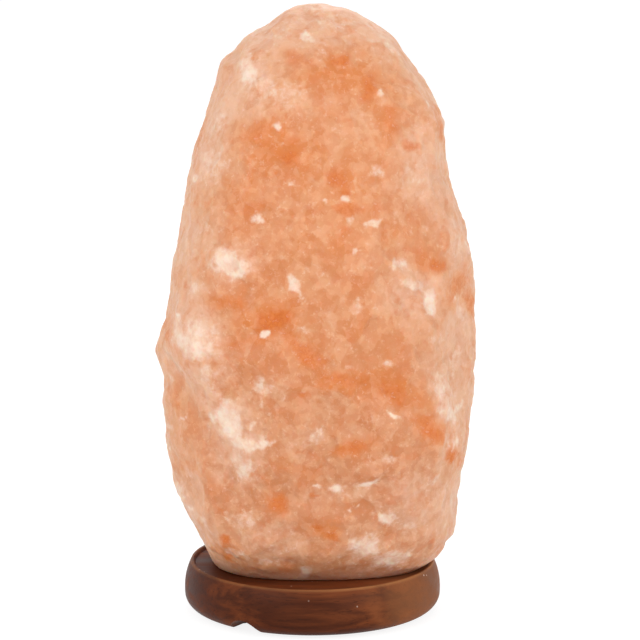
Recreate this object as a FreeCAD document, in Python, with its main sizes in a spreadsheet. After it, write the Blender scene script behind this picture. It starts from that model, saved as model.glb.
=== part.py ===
"""Salt crystal lamp: a rough block of rock salt on a turned wooden base, lit from inside its bore.

Frame: millimetres, +Z up. The origin is on the axis of the base, in the plane that the lamp stands on.
The front, with the widest face of the crystal, looks along -Y, and +X is to the right of it.
"""

import FreeCAD, Part
import math
import os
import re

import Sketcher

PARTS_FOLDER = "parts"
TURN = 360.0

# ---------------------------------------------------------------- driving dimensions, in mm and degrees
SIZES = {
    # wooden base
    "pad_thickness": 1.0,
    "pad_radius": 5.0,
    "pad_circle": 40.0,
    "pad_first_angle": 37.0,
    "base_radius": 57.5,
    "base_thickness": 21.3,
    "base_foot_round": 7.0,
    "base_side_height": 2.5,
    "base_shoulder_inset": 3.0,
    "rim_width": 0.9,
    "dish_depth": 1.5,
    "dish_slope": 1.0,
    "base_hole_radius": 25.5,
    "groove_angle": 33.0,
    "groove_width": 16.0,
    "groove_depth": 5.7,
    # salt crystal
    "crystal_height": 252.2,
    "crystal_left": 70.2,
    "crystal_right": 73.2,
    "crystal_front": 60.0,
    "crystal_back": 59.6,
    "row_gap": 7.0,
    "chip_size": 26.0,
    "chip_depth": 1.5,
    "bore_radius": 25.0,
    "bore_depth": 95.0,
    # screws that hold the base to the crystal
    "screw_circle": 36.0,
    "screw_first_angle": -15.0,
    "screw_spacing": 105.0,
    "screw_radius": 1.75,
    "screw_length": 30.0,
    "screw_tip": 3.0,
    "screw_head_radius": 3.8,
    "screw_head_height": 2.6,
    "screw_recess": 1.4,
    "screw_slot": 1.0,
    "screw_hole_play": 0.35,
    "head_hole_play": 0.7,
    "head_hole_depth": 8.5,
    "anchor_radius": 3.5,
    "anchor_length": 24.0,
    # spring bracket under the lamp holder
    "bracket_height": 12.5,
    "sheet_thickness": 1.0,
    "bracket_length": 38.0,
    "bracket_width": 17.0,
    "ear_width": 6.0,
    "ear_height": 7.0,
    "pin_radius": 1.0,
    "pin_head_radius": 1.8,
    "pin_head_thickness": 0.8,
    "pin_play": 0.08,
    "wire_radius": 0.7,
    "coil_radius": 2.1,
    "coil_turns": 2.0,
    "coil_lap": 0.15,
    "clip_bend": 2.2,
    "clip_knee_height": 32.5,
    "clip_tip_height": 46.5,
    "clip_tip_reach": 20.5,
    "clip_loop_width": 9.0,
    "clip_play": 0.3,
    # threaded nipple and nut
    "nipple_radius": 5.0,
    "nipple_bore": 3.7,
    "nipple_below": 5.5,
    "nipple_above": 8.0,
    "nut_across": 13.0,
    "nut_thickness": 3.0,
    # lamp holder
    "holder_radius": 13.5,
    "holder_wall": 2.0,
    "cap_height": 18.0,
    "cap_neck_radius": 8.0,
    "cap_neck_height": 3.0,
    "cap_floor": 8.5,
    "sleeve_height": 30.0,
    "sleeve_lap": 5.0,
    "sleeve_lap_wall": 1.5,
    "sleeve_lip": 1.9,
    "sleeve_lip_height": 1.5,
    "wiring_space": 5.5,
    "block_height": 9.0,
    "block_play": 0.3,
    "shell_wall": 0.4,
    "shell_height": 21.0,
    "flange_hole": 3.0,
    "contact_width": 4.0,
    "contact_thickness": 0.4,
    "contact_rise": 2.0,
    "rivet_radius": 1.2,
    "post_radius": 1.0,
    "post_offset": 4.6,
    "terminal_offset": 7.3,
    "terminal_radius": 1.4,
    "terminal_head_radius": 2.2,
    "terminal_head_height": 1.6,
    # bulb with a 14 mm screw cap
    "thread_radius": 6.9,
    "thread_root": 6.2,
    "thread_pitch": 2.82,
    "thread_rounding": 0.75,
    "thread_turns": 5.0,
    "thread_play": 0.2,
    "cap_wall": 0.3,
    "cap_length": 17.0,
    "collar_radius": 7.6,
    "bulb_radius": 12.5,
    "bulb_length": 57.0,
    "glass_wall": 0.6,
    "glass_neck_rise": 1.0,
    "glass_flare": 1.4,
    "glass_flare_drop": 1.2,
    "insulator_height": 3.2,
    "insulator_land": 0.8,
    "tip_radius": 2.2,
    "tip_height": 1.6,
    "tip_play": 0.3,
    "stem_radius": 3.0,
    "stem_height": 18.0,
    "lead_radius": 0.25,
    "lead_spread": 5.5,
    "lead_rise": 12.0,
    "filament_radius": 0.2,
    "filament_arch": 2.2,
    "support_radius": 0.15,
}

# Rows of the crystal from its sawn foot to just under its tip: height, then the reach to the left, right,
# front and back, each as a share of the crystal's own largest
CRYSTAL_ROWS = (
    (0.000, 0.625, 0.688, 0.57, 0.80),
    (0.021, 0.675, 0.785, 0.67, 0.85),
    (0.064, 0.755, 0.882, 0.81, 0.92),
    (0.128, 0.860, 0.895, 0.91, 0.94),
    (0.213, 0.935, 0.938, 0.97, 0.98),
    (0.298, 0.955, 0.985, 1.00, 1.00),
    (0.341, 0.945, 0.985, 0.98, 1.00),
    (0.384, 1.000, 1.000, 0.99, 0.97),
    (0.427, 0.950, 0.997, 0.97, 0.95),
    (0.491, 0.905, 0.990, 0.95, 0.95),
    (0.555, 0.885, 0.965, 0.93, 0.92),
    (0.619, 0.825, 0.922, 0.90, 0.88),
    (0.661, 0.805, 0.862, 0.87, 0.86),
    (0.704, 0.775, 0.820, 0.83, 0.83),
    (0.747, 0.740, 0.797, 0.79, 0.78),
    (0.790, 0.680, 0.802, 0.74, 0.74),
    (0.853, 0.610, 0.700, 0.66, 0.64),
    (0.896, 0.580, 0.588, 0.57, 0.54),
    (0.939, 0.430, 0.488, 0.44, 0.41),
    (0.968, 0.262, 0.355, 0.29, 0.27),
    (0.988, 0.155, 0.250, 0.17, 0.15),
    (0.997, 0.080, 0.120, 0.09, 0.08),
)
ROW_POINTS = 56
SQUARENESS = 2.35  # 2 would make each row an ellipse
# Waves that make the rows uneven: depth as a share of the reach, waves round a row, waves up the height,
# and phase
UNEVENNESS = ((0.045, 3, 1.3, 0.9), (0.035, 5, -2.1, 2.4), (0.024, 7, 3.4, 4.0), (0.016, 9, 8.3, 1.0))
EVEN_FOOT = 0.12  # share of the height over which waves and chips fade in above the sawn foot
EVEN_TIP = 0.12  # share of the height over which the chips fade out towards the tip
CHIP_COUNT = 150
EDGE_CHIPS = 0.3  # depth of the chips at the left and right edge, as a share of that in front
# Broken faces: direction round the crystal, direction above the horizon, height share of the face's middle,
# and its distance from the crystal's axis there as a share of the reach
BROKEN_FACES = (
    (262.0, 6.0, 0.55, 0.88),
    (304.0, 10.0, 0.70, 0.80),
    (232.0, -24.0, 0.12, 0.86),
    (318.0, -16.0, 0.14, 0.94),
    (215.0, 14.0, 0.78, 0.74),
    (100.0, 8.0, 0.62, 0.84),
    (62.0, -10.0, 0.20, 0.95),
    (140.0, -8.0, 0.30, 0.92),
    (30.0, 12.0, 0.80, 0.78),
    (282.0, 16.0, 0.86, 0.60),
    (250.0, -4.0, 0.36, 0.92),
    (288.0, -22.0, 0.10, 0.82),
    (330.0, 2.0, 0.45, 0.93),
    (238.0, 22.0, 0.86, 0.60),
    (212.0, -6.0, 0.38, 0.94),
    (80.0, 22.0, 0.86, 0.60),
    (122.0, 16.0, 0.78, 0.70),
    (55.0, 4.0, 0.50, 0.91),
    (150.0, 5.0, 0.60, 0.90),
    (85.0, -5.0, 0.36, 0.95),
)

# Steps in the front face, in shares of the height: a line of points across and up from the foot, how far the
# face on its right hand stands out, and how far from the line that fades away
FRONT_STEPS = (
    (((-0.245, 0.392), (-0.229, 0.379), (-0.198, 0.360), (-0.174, 0.328), (-0.146, 0.265), (-0.130, 0.206)),
     -0.0111, 0.080),
    (((-0.119, 0.937), (-0.146, 0.874), (-0.178, 0.822), (-0.198, 0.763), (-0.213, 0.708)), -0.0067, 0.040),
    (((0.190, 0.850), (0.209, 0.798), (0.217, 0.735)), 0.0051, 0.045),
    (((0.237, 0.368), (0.233, 0.308), (0.229, 0.253), (0.217, 0.202)), 0.0063, 0.036),
    (((0.008, 0.391), (0.075, 0.379), (0.142, 0.360), (0.198, 0.320)), -0.0043, 0.060),
    (((-0.107, 0.466), (-0.047, 0.478), (-0.004, 0.443), (0.067, 0.391)), -0.0036, 0.045),
    (((-0.020, 0.186), (0.047, 0.198), (0.126, 0.206)), -0.0043, 0.045),
    (((-0.166, 0.206), (-0.107, 0.138), (-0.083, 0.067)), 0.0040, 0.045),
    (((0.055, 0.103), (0.103, 0.119), (0.146, 0.091)), 0.0043, 0.040),
)
STEP_RISE = 0.012  # width of a step, as a share of the height

SCREW_COUNT = 3
PAD_COUNT = 4
SIDES = {"left": -1, "right": 1}

doc = FreeCAD.newDocument("salt_crystal_lamp")
sheet = doc.addObject("Spreadsheet::Sheet", "Sizes")


def fill_sheet():
    """Writes each driving dimension into the sheet as plain text, under its own name."""
    for row, (name, value) in enumerate(SIZES.items(), start=1):
        sheet.set(f"A{row}", name)
        sheet.set(f"B{row}", str(value))
        sheet.setAlias(f"B{row}", name)
    doc.recompute()


def bound(expression):
    """The expression with every size name pointing at the sheet."""
    return re.sub(r"[a-z]+(_[a-z]+)+", lambda found: "Sizes." + found.group(0), str(expression))


def size(expression):
    """The expression's value in mm, worked out from the sheet."""
    return float(sheet.evalExpression(bound(expression)))


def bind(feature, **properties):
    """Binds properties of a feature to expressions. Two underscores stand for a dot."""
    for name, expression in properties.items():
        feature.setExpression(name.replace("__", "."), bound(expression))
    return feature


def place(feature, x="0", y="0", z="0"):
    """Binds the position of a feature."""
    return bind(feature, Placement__Base__x=x, Placement__Base__y=y, Placement__Base__z=z)


def cylinder(name, radius, height, x="0", y="0", z="0"):
    feature = doc.addObject("Part::Cylinder", name)
    return place(bind(feature, Radius=radius, Height=height), x, y, z)


def cone(name, low_radius, high_radius, height, x="0", y="0", z="0"):
    feature = doc.addObject("Part::Cone", name)
    return place(bind(feature, Radius1=low_radius, Radius2=high_radius, Height=height), x, y, z)


def torus(name, radius, round_radius, z):
    feature = doc.addObject("Part::Torus", name)
    return place(bind(feature, Radius1=radius, Radius2=round_radius), z=z)


def box(name, length, width, height, x="0", y="0", z="0"):
    feature = doc.addObject("Part::Box", name)
    return place(bind(feature, Length=length, Width=width, Height=height), x, y, z)


def cut(name, base, *tools):
    feature = doc.addObject("Part::Cut", name)
    feature.Base = base
    feature.Tool = tools[0] if len(tools) == 1 else fuse(name + "_tools", *tools)
    return feature


def fuse(name, *shapes):
    feature = doc.addObject("Part::MultiFuse", name)
    feature.Shapes = list(shapes)
    return feature


def group(name, members):
    """Equal pieces that share a node, each still a solid of its own."""
    feature = doc.addObject("Part::Compound", name)
    feature.Links = list(members)
    return feature


def around(circle, angle):
    """Position expressions of a point on a circle about the Z axis."""
    return f"{circle} * cos(({angle}) * 1 deg)", f"{circle} * sin(({angle}) * 1 deg)"


def turned(name, outline):
    """A body turned about the Z axis. The outline's points are (radius, height) expressions. A point that
    begins with the word arc holds the middle of an arc from the point before it to the point after it."""
    body = doc.addObject("PartDesign::Body", name)
    sketch = body.newObject("Sketcher::SketchObject", name + "_outline")
    plane = next(o for o in body.Origin.OriginFeatures if o.Role == "XZ_Plane")
    sketch.AttachmentSupport = (plane, "")
    sketch.MapMode = "FlatFace"
    corners = [point for point in outline if point[0] != "arc"]
    spots = [FreeCAD.Vector(size(across), size(up), 0) for across, up in corners]
    middles = arc_middles(outline)
    for i, start in enumerate(spots):
        end = spots[(i + 1) % len(spots)]
        if i in middles:
            through = FreeCAD.Vector(size(middles[i][0]), size(middles[i][1]), 0)
            ends = (start, end) if (through - start).cross(end - start).z > 0 else (end, start)
            sketch.addGeometry(Part.Arc(ends[0], through, ends[1]), False)
        else:
            sketch.addGeometry(Part.LineSegment(start, end), False)
    fix_corners(sketch, corners, spots, middles)
    feature = body.newObject("PartDesign::Revolution", name + "_turned")
    feature.Profile = sketch
    feature.ReferenceAxis = (sketch, ["V_Axis"])
    feature.Angle = TURN
    return body


def arc_middles(outline):
    """The middle point of each arc, by the index of the corner that it starts from."""
    middles = {}
    corner = -1
    for point in outline:
        if point[0] == "arc":
            middles[corner] = point[1:]
        else:
            corner += 1
    return middles


def fix_corners(sketch, corners, spots, middles):
    """Joins the edges of a sketch end to end and binds each corner to its own expressions."""
    for i, (across, up) in enumerate(corners):
        start = 1 if (sketch.Geometry[i].StartPoint - spots[i]).Length < 1e-6 else 2
        before = (i - 1) % len(corners)
        end = 2 if (sketch.Geometry[before].EndPoint - spots[i]).Length < 1e-6 else 1
        sketch.addConstraint(Sketcher.Constraint("Coincident", before, end, i, start))
        for kind, expression in (("DistanceX", across), ("DistanceY", up)):
            number = sketch.addConstraint(Sketcher.Constraint(kind, -1, 1, i, start, size(expression)))
            sketch.setExpression(f"Constraints[{number}]", bound(expression))
    for i in middles:
        sketch.addConstraint(Sketcher.Constraint("Radius", i, sketch.Geometry[i].Radius))


def rounded_path(points, bend):
    """A wire of straight runs joined by tangent arcs of one radius."""
    edges = []
    last = points[0]
    for before, corner, after in zip(points, points[1:], points[2:]):
        back = (before - corner).normalize()
        ahead = (after - corner).normalize()
        half = back.getAngle(ahead) / 2
        leave = corner + back * (bend / math.tan(half))
        join = corner + ahead * (bend / math.tan(half))
        centre = corner + (back + ahead).normalize() * (bend / math.sin(half))
        middle = centre + (corner - centre).normalize() * bend
        edges.append(Part.LineSegment(last, leave).toShape())
        edges.append(Part.Arc(leave, middle, join).toShape())
        last = join
    edges.append(Part.LineSegment(last, points[-1]).toShape())
    return Part.Wire(edges)


def bent_wire(points, radius, bend):
    """A solid round wire along straight runs and bends."""
    path = rounded_path(points, bend)
    ring = Part.Wire(Part.makeCircle(radius, points[0], points[1] - points[0]))
    return path.makePipeShell([ring], True, False)


def shaped(name, shape):
    feature = doc.addObject("Part::Feature", name)
    feature.Shape = shape
    return feature


# ---------------------------------------------------------------- heights that several pieces share
BASE_TOP = "(pad_thickness + base_thickness)"
FOOT = "(pad_thickness + base_thickness - dish_depth)"
HEAD_SEAT = "(pad_thickness + head_hole_depth)"
PLATE_TOP = "(pad_thickness + bracket_height)"
PIN_HEIGHT = "(pad_thickness + bracket_height + ear_height / 2 + sheet_thickness / 2)"
CAP_TOP = "(pad_thickness + bracket_height + cap_height)"
BLOCK_LOW = "(pad_thickness + bracket_height + cap_floor + wiring_space)"
BLOCK_TOP = "(pad_thickness + bracket_height + cap_floor + wiring_space + block_height)"
BULB_LOW = f"({BLOCK_TOP} + contact_rise + tip_play)"
CAP_LOW = f"({BULB_LOW} + tip_height + insulator_height)"
CAP_END = f"({CAP_LOW} + cap_length)"
BULB_TOP = f"({BULB_LOW} + bulb_length)"
PIN_PLACE = "(bracket_length / 2 - ear_width / 2)"


def screw_angles():
    return [f"screw_first_angle + screw_spacing * {i}" for i in range(SCREW_COUNT)]


# ---------------------------------------------------------------- wooden base
def wooden_base():
    """A turned disc with a rounded foot, a sharp rim round a shallow dish, and a cord groove under it."""
    shoulder = "(pad_thickness + base_foot_round + base_side_height)"
    rim = "(base_radius - base_shoulder_inset)"
    disc = turned("base_disc", [
        ("0", "pad_thickness"),
        ("base_radius - base_foot_round", "pad_thickness"),
        ("arc", "base_radius - base_foot_round * (1 - cos(45 deg))",
         "pad_thickness + base_foot_round * (1 - cos(45 deg))"),
        ("base_radius", "pad_thickness + base_foot_round"),
        ("base_radius", shoulder),
        ("arc", "base_radius - base_shoulder_inset / 4", f"({shoulder} + {BASE_TOP}) / 2"),
        (rim, BASE_TOP),
        (f"{rim} - rim_width", BASE_TOP),
        (f"{rim} - rim_width - dish_slope", FOOT),
        ("0", FOOT),
    ])
    cuts = [cylinder("fitting_hole", "base_hole_radius", "base_thickness", z="pad_thickness"), cord_groove()]
    for i, angle in enumerate(screw_angles()):
        x, y = around("screw_circle", angle)
        cuts.append(cylinder(f"screw_way_{i}", "screw_radius + screw_hole_play", "base_thickness",
                             x, y, "pad_thickness"))
        cuts.append(cylinder(f"screw_head_way_{i}", "screw_head_radius + head_hole_play", "head_hole_depth",
                             x, y, "pad_thickness"))
    return cut("wooden_base", disc, *cuts)


def cord_groove():
    """A round-bottomed channel from the hole in the base out through its foot, a little left of the front."""
    half, depth = size("groove_width / 2"), size("groove_depth")
    angle = math.radians(size("groove_angle"))
    way_out = FreeCAD.Vector(-math.sin(angle), -math.cos(angle), 0)
    radius = (half * half + depth * depth) / (2 * depth)
    start = FreeCAD.Vector(0, 0, size("pad_thickness") + depth - radius)
    way = Part.makeCylinder(radius, size("base_radius"), start, way_out)
    return shaped("cord_groove", way)


def floor_pads():
    pads = []
    for i in range(PAD_COUNT):
        x, y = around("pad_circle", f"pad_first_angle + {TURN} * {i} / {PAD_COUNT}")
        pads.append(cylinder(f"pad_{i}", "pad_radius", "pad_thickness", x, y))
    return group("floor_pads", pads)


# ---------------------------------------------------------------- salt crystal
def reach_at(angle, left, right, front, back):
    """How far a row of the crystal reaches in one direction: a rounded box with four different reaches."""
    across, along = math.cos(angle), math.sin(angle)
    sideways = right if across > 0 else left
    lengthways = back if along > 0 else front
    return (abs(across / sideways) ** SQUARENESS + abs(along / lengthways) ** SQUARENESS) ** (-1 / SQUARENESS)


def eased(value, low, high):
    """0 below low and 1 above high, with an even curve between them."""
    share = min(1, max(0, (value - low) / (high - low)))
    return share * share * (3 - 2 * share)


def crystal_rows():
    """The given rows, with even rows put between them wherever they are further apart than the row gap."""
    rows = []
    for low, high in zip(CRYSTAL_ROWS, CRYSTAL_ROWS[1:]):
        count = math.ceil((high[0] - low[0]) / size("row_gap / crystal_height"))
        rows += [[a + (b - a) * i / count for a, b in zip(low, high)] for i in range(count)]
    return rows + [CRYSTAL_ROWS[-1]]


def chips():
    """Flat chips spread evenly over the crystal: direction, height, level, and slopes round it and up it."""
    golden_angle = math.pi * (3 - math.sqrt(5))
    return [(i * golden_angle + 0.2 * math.sin(5.1 * i), (i + 0.5) / CHIP_COUNT, math.sin(2.3 * i * i),
             math.sin(1.9 * i * i + 1), math.sin(3.1 * i * i + 2)) for i in range(CHIP_COUNT)]


def chip_depth(angle, height):
    """How far the chip nearest to a point of the surface stands out there."""
    around_it, up_it = size("(crystal_left + crystal_back) / 2"), size("crystal_height")
    best = None
    for facing, middle, level, lean, tilt in CHIPS:
        across = around_it * math.remainder(angle - facing, 2 * math.pi)
        along = up_it * (height - middle)
        if best is None or across * across + along * along < best[0]:
            slope = (lean * across + tilt * along) / size("chip_size")
            best = (across * across + along * along, level / 2 + slope)
    return size("chip_depth") * best[1]


def step_depth(across, up):
    """How far the steps of the front face stand out at a place on it, all in shares of the height."""
    depth = 0
    for line, stand_out, fade in FRONT_STEPS:
        nearest, side = math.inf, 0
        for (x, z), (next_x, next_z) in zip(line, line[1:]):
            run_x, run_z = next_x - x, next_z - z
            share = ((across - x) * run_x + (up - z) * run_z) / (run_x * run_x + run_z * run_z)
            share = min(1, max(0, share))
            gap_x, gap_z = across - x - share * run_x, up - z - share * run_z
            if math.hypot(gap_x, gap_z) < nearest:
                nearest, side = math.hypot(gap_x, gap_z), run_z * gap_x - run_x * gap_z
        beyond = math.copysign(nearest, side)
        depth += stand_out * eased(beyond, -STEP_RISE / 2, STEP_RISE / 2) * (1 - eased(nearest, fade / 4, fade))
    return depth


def crystal_point(row, number):
    """A corner of the crystal's surface, with its waves, its broken faces, its chips and its steps."""
    height, *shares = row
    reaches = [size(f"crystal_{side}") for side in ("left", "right", "front", "back")]
    angle = 2 * math.pi * number / ROW_POINTS
    reach = reach_at(angle, *(share * full for share, full in zip(shares, reaches)))
    fade = math.sin(angle) ** 2 * min(1, height / EVEN_FOOT)  # none at the sides, which the rows give alone
    for depth, round_row, up, phase in UNEVENNESS:
        reach *= 1 + fade * depth * math.sin(round_row * angle + 2 * math.pi * up * height + phase)
    tall = size("crystal_height")
    for around_face, above, middle, distance in BROKEN_FACES:
        facing, rise = math.radians(around_face), math.radians(above)
        limit = distance * reach_at(facing, *reaches) - math.sin(rise) * (height - middle) * tall
        towards = math.cos(rise) * math.cos(angle - facing)
        if towards * reach > limit and height > 0:
            reach = limit / towards
    fade = (EDGE_CHIPS + (1 - EDGE_CHIPS) * math.sin(angle) ** 2) * eased(height, 0, EVEN_FOOT)
    reach += chip_depth(angle, height) * fade * eased(1 - height, 0, EVEN_TIP)
    reach += step_depth(reach * math.cos(angle) / tall, height) * tall * eased(-math.sin(angle), 0, 0.4)
    return FreeCAD.Vector(reach * math.cos(angle), reach * math.sin(angle), size(FOOT) + height * tall)


CHIPS = chips()


def crystal_block():
    """The rough outside of the crystal as flat three-cornered faces."""
    rows = [[crystal_point(row, i) for i in range(ROW_POINTS)] for row in crystal_rows()]
    tip = FreeCAD.Vector(0, 0, size(FOOT) + size("crystal_height"))
    corners = [rows[0][::-1]]
    for number, (low, high) in enumerate(zip(rows, rows[1:])):
        for i in range(ROW_POINTS):
            j = (i + 1) % ROW_POINTS
            if (i + number) % 2:
                corners += [[low[i], low[j], high[j]], [low[i], high[j], high[i]]]
            else:
                corners += [[low[i], low[j], high[i]], [low[j], high[j], high[i]]]
    corners += [[rows[-1][i], rows[-1][(i + 1) % ROW_POINTS], tip] for i in range(ROW_POINTS)]
    shell = Part.Shell([Part.Face(Part.makePolygon(face + face[:1])) for face in corners])
    shell.sewShape()
    return shaped("crystal_block", Part.Solid(shell))


def salt_crystal():
    cuts = [cylinder("bulb_bore", "bore_radius", "bore_depth", z=FOOT)]
    for i, angle in enumerate(screw_angles()):
        x, y = around("screw_circle", angle)
        cuts.append(cylinder(f"anchor_hole_{i}", "anchor_radius", "anchor_length", x, y, FOOT))
    return cut("salt_crystal", crystal_block(), *cuts)


# ---------------------------------------------------------------- screws between base and crystal
def screw_anchors():
    anchors = []
    for i, angle in enumerate(screw_angles()):
        x, y = around("screw_circle", angle)
        plug = cylinder(f"anchor_plug_{i}", "anchor_radius", "anchor_length", x, y, FOOT)
        core = cylinder(f"anchor_core_{i}", "screw_radius", "anchor_length", x, y, FOOT)
        anchors.append(cut(f"anchor_{i}", plug, core))
    return group("screw_anchors", anchors)


def base_screws():
    """Pan-head wood screws with a cross recess, driven up through the base."""
    screws = []
    for i, angle in enumerate(screw_angles()):
        x, y = around("screw_circle", angle)
        low = f"{HEAD_SEAT} - screw_head_height"
        shank = cylinder(f"shank_{i}", "screw_radius", "screw_length - screw_tip", x, y, HEAD_SEAT)
        tip = cone(f"point_{i}", "screw_radius", "screw_radius / 10", "screw_tip", x, y,
                   f"{HEAD_SEAT} + screw_length - screw_tip")
        head = cone(f"head_{i}", "screw_head_radius * 0.8", "screw_head_radius", "screw_head_height",
                    x, y, low)
        arm = "screw_head_radius"
        slots = [
            box(f"slot_x_{i}", arm, "screw_slot", "screw_recess",
                f"{x} - {arm} / 2", f"{y} - screw_slot / 2", low),
            box(f"slot_y_{i}", "screw_slot", arm, "screw_recess",
                f"{x} - screw_slot / 2", f"{y} - {arm} / 2", low),
        ]
        screws.append(cut(f"screw_{i}", fuse(f"screw_blank_{i}", shank, tip, head), *slots))
    return group("base_screws", screws)


# ---------------------------------------------------------------- spring bracket
def clip_bracket():
    """A strip of sheet steel with two pairs of ears."""
    low = f"{PLATE_TOP} - sheet_thickness"
    parts = [box("bracket_plate", "bracket_length", "bracket_width", "sheet_thickness",
                 "-bracket_length / 2", "-bracket_width / 2", low)]
    holes = [cylinder("nipple_hole", "nipple_radius", "sheet_thickness", z=low)]
    for side, sign in SIDES.items():
        middle = f"{sign} * {PIN_PLACE}"
        for end in (-1, 1):
            edge = f"{end} * (bracket_width / 2 - sheet_thickness / 2) - sheet_thickness / 2"
            parts.append(box(f"ear_{side}_{end + 1}", "ear_width", "sheet_thickness", "ear_height",
                             f"{middle} - ear_width / 2", edge, PLATE_TOP))
        holes.append(pin_rod(f"pin_hole_{side}", middle, "pin_radius", "bracket_width"))
    return cut("clip_bracket", fuse("bracket_blank", *parts), *holes)


def pin_rod(name, x, radius, length):
    """A cylinder along Y, centred on the lamp's axis, at the height of the clip pins."""
    rod = cylinder(name, radius, length)
    rod.Placement = FreeCAD.Placement(FreeCAD.Vector(0, 0, 0), FreeCAD.Rotation(FreeCAD.Vector(1, 0, 0), -90))
    return place(rod, x, f"-({length}) / 2", PIN_HEIGHT)


def clip_pins():
    pins = []
    for side, sign in SIDES.items():
        middle = f"{sign} * {PIN_PLACE}"
        shank = pin_rod(f"pin_shank_{side}", middle, "pin_radius", "bracket_width + 2 * pin_head_thickness")
        heads = pin_rod(f"pin_heads_{side}", middle, "pin_head_radius",
                        "bracket_width + 2 * pin_head_thickness")
        gap = pin_rod(f"pin_gap_{side}", middle, "pin_head_radius + pin_play", "bracket_width")
        pins.append(fuse(f"pin_{side}", shank, cut(f"pin_ends_{side}", heads, gap)))
    return group("clip_pins", pins)


def clip_spring(side, sign):
    """A wire loop that presses outwards on the bore, with a coil at each foot round the pin."""
    half, wire, lap = size("clip_loop_width / 2"), size("wire_radius"), size("coil_lap")
    pin_x, pin_z, coil = size(PIN_PLACE), size(PIN_HEIGHT), size("coil_radius")
    knee = math.sqrt((size("bore_radius - clip_play") - wire) ** 2 - half ** 2)
    leg = [(pin_x + coil - lap, pin_z), (knee, size("pad_thickness + clip_knee_height")),
           (size("clip_tip_reach"), size("pad_thickness + clip_tip_height"))]
    points = [FreeCAD.Vector(sign * x, half, z) for x, z in leg]
    points += [FreeCAD.Vector(sign * x, -half, z) for x, z in leg[::-1]]
    spring = bent_wire(points, wire, size("clip_bend"))
    width = size("coil_turns * 2 * wire_radius")
    for low in (half - wire - lap, wire + lap - half - width):
        start = FreeCAD.Vector(sign * pin_x, low, pin_z)
        ring = Part.makeCylinder(coil + wire, width, start, FreeCAD.Vector(0, 1, 0))
        way = Part.makeCylinder(coil - wire, width, start, FreeCAD.Vector(0, 1, 0))
        spring = spring.fuse(ring.cut(way))
    for low in (half - wire - lap, wire + lap - half - width):
        start = FreeCAD.Vector(sign * pin_x, low, pin_z)
        spring = spring.cut(Part.makeCylinder(coil - wire, width, start, FreeCAD.Vector(0, 1, 0)))
    return shaped(f"clip_spring_{side}", spring)


def lead_nipple():
    low = f"{PLATE_TOP} - sheet_thickness - nipple_below"
    tall = "nipple_below + sheet_thickness + nipple_above"
    return cut("lead_nipple", cylinder("nipple_outside", "nipple_radius", tall, z=low),
               cylinder("nipple_inside", "nipple_bore", tall, z=low))


def nipple_nut():
    prism = doc.addObject("Part::Prism", "nut_blank")
    prism.Polygon = 6
    bind(prism, Circumradius="nut_across / 2 / cos(30 deg)", Height="nut_thickness")
    low = f"{PLATE_TOP} - sheet_thickness - nut_thickness"
    place(prism, z=low)
    return cut("nipple_nut", prism, cylinder("nut_thread", "nipple_radius", "nut_thickness", z=low))


# ---------------------------------------------------------------- lamp holder
def holder_cap():
    """The lower casing, which screws on the nipple."""
    inside = "(holder_radius - holder_wall)"
    floor = f"({PLATE_TOP} + cap_floor)"
    return turned("holder_cap", [
        ("nipple_radius", PLATE_TOP),
        ("cap_neck_radius", PLATE_TOP),
        ("cap_neck_radius", f"{PLATE_TOP} + cap_neck_height"),
        ("arc", "cap_neck_radius + (holder_radius - cap_neck_radius) * sin(45 deg)",
         f"{PLATE_TOP} + cap_neck_height + (cap_floor - cap_neck_height) * (1 - cos(45 deg))"),
        ("holder_radius", floor),
        ("holder_radius", CAP_TOP),
        (inside, CAP_TOP),
        (inside, floor),
        ("nipple_radius", floor),
    ])


def holder_sleeve():
    """The upper casing, whose spigot screws into the lower one."""
    spigot = "(holder_radius - holder_wall)"
    lap = "(holder_radius - holder_wall - sleeve_lap_wall)"
    top = f"({CAP_TOP} + sleeve_height)"
    return turned("holder_sleeve", [
        (lap, f"{CAP_TOP} - sleeve_lap"),
        (spigot, f"{CAP_TOP} - sleeve_lap"),
        (spigot, CAP_TOP),
        ("holder_radius", CAP_TOP),
        ("holder_radius", f"{top} - sleeve_lip_height"),
        ("holder_radius - sleeve_lip_height", top),
        (f"{spigot} - sleeve_lip", top),
        (f"{spigot} - sleeve_lip", f"{top} - sleeve_lip_height"),
        (spigot, f"{top} - sleeve_lip_height"),
        (spigot, f"{CAP_TOP} + sleeve_lap_wall"),
        (lap, CAP_TOP),
    ])


def terminal_block():
    """The ceramic core that carries the contacts."""
    blank = cylinder("block_blank", "holder_radius - holder_wall - sleeve_lap_wall - block_play",
                     "block_height", z=BLOCK_LOW)
    holes = [cylinder("rivet_way", "rivet_radius", "block_height", z=BLOCK_LOW),
             cylinder("post_way", "post_radius", "block_height", "post_offset", z=BLOCK_LOW)]
    for side, sign in SIDES.items():
        holes.append(cylinder(f"terminal_way_{side}", "terminal_radius", "block_height",
                              f"{sign} * terminal_offset", z=BLOCK_LOW))
    return cut("terminal_block", blank, *holes)


def socket_shell():
    """The brass screw shell. Its thread is drawn as closed ridges between those of the bulb's cap."""
    inner = "(thread_radius + thread_play)"
    wall = cylinder("shell_outside", f"{inner} + shell_wall", "shell_height", z=BLOCK_TOP)
    way = cylinder("shell_inside", inner, "shell_height - contact_thickness",
                   z=f"{BLOCK_TOP} + contact_thickness")
    hole = cylinder("flange_way", "flange_hole", "contact_thickness", z=BLOCK_TOP)
    tube = cut("shell_tube", wall, way, hole)
    ridges = []
    for i in range(int(size("thread_turns")) - 1):
        height = f"{CAP_LOW} + thread_pitch * {i + 1}"
        ridges.append(torus(f"shell_ridge_{i}", inner, "thread_rounding * 2 / 3", height))
    outside = cut("shell_rings", fuse("shell_ridges", *ridges),
                  shell_sleeve(f"{inner} + shell_wall / 2"))
    return fuse("socket_shell", tube, outside)


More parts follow.
